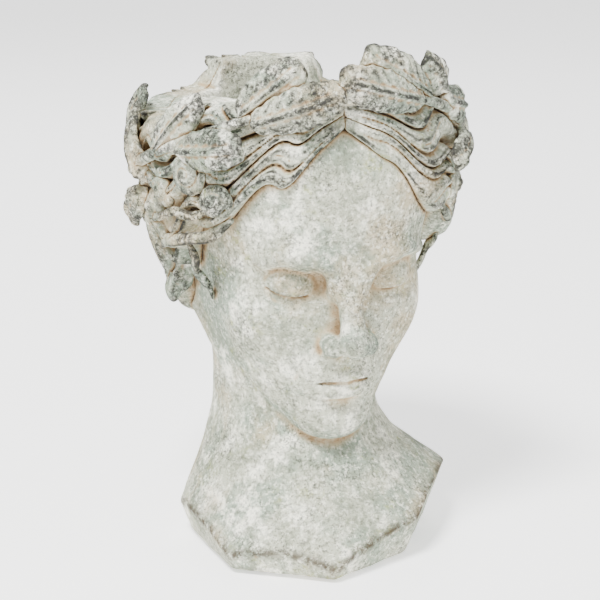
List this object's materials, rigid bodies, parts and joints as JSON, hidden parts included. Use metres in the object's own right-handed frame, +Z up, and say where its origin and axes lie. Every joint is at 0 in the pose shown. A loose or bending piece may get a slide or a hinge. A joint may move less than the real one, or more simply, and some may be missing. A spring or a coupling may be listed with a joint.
{
  "type": "head planter",
  "caption": "Cast stone head planter: a calm classical woman's bust with waved hair and a laurel wreath, open at the crown, with a drain plug",
  "frame": {"origin": "on the ground under the middle of the bounding box", "axes": "+Z up, the face looks along -Y, +X towards the bust's own left shoulder"},
  "size_m": [0.1896, 0.214, 0.3013],
  "materials": {
    "cast_stone": "aged grey-green lime wash over buff cast stone, dark wear on edges",
    "rubber": "matt black",
    "felt": "dense grey felt"
  },
  "bodies": {
    "casting": {"ear_left": "cast_stone", "ear_right": "cast_stone", "foot_pad_1": "felt", "foot_pad_2": "felt", "foot_pad_3": "felt", "foot_pad_4": "felt", "hair_back_left": "cast_stone", "hair_back_right": "cast_stone", "hair_ear_lock_left": "cast_stone", "hair_ear_lock_right": "cast_stone", "hair_knot": "cast_stone", "hair_side_curl_left": "cast_stone", "hair_side_curl_right": "cast_stone", "hair_side_left": "cast_stone", "hair_side_right": "cast_stone", "hair_temple_curl_left": "cast_stone", "hair_temple_curl_right": "cast_stone", "hair_wave_high_left": "cast_stone", "hair_wave_high_right": "cast_stone", "hair_wave_low_left": "cast_stone", "hair_wave_low_right": "cast_stone", "hair_wave_middle_left": "cast_stone", "hair_wave_middle_right": "cast_stone", "head_shell": "cast_stone", "leaf_back_high_left": "cast_stone", "leaf_back_high_right": "cast_stone", "leaf_back_low_left": "cast_stone", "leaf_back_low_right": "cast_stone", "leaf_brow_left": "cast_stone", "leaf_brow_right": "cast_stone", "leaf_crest_left": "cast_stone", "leaf_crest_right": "cast_stone", "leaf_nape_left": "cast_stone", "leaf_nape_right": "cast_stone", "leaf_side_high_left": "cast_stone", "leaf_side_high_right": "cast_stone", "leaf_side_low_left": "cast_stone", "leaf_side_low_right": "cast_stone", "leaf_temple_high_left": "cast_stone", "leaf_temple_high_right": "cast_stone", "leaf_temple_low_left": "cast_stone", "leaf_temple_low_right": "cast_stone", "leaf_upright_left": "cast_stone", "wreath_stem_left": "cast_stone", "wreath_stem_right": "cast_stone"},
    "plug": {"drain_plug": "rubber"}
  },
  "joints": [
    {"name": "plug_pull", "type": "slide", "parent": "casting", "child": "plug", "axis": [0, 0, 1], "range_m": [0, 0.04]}
  ]
}
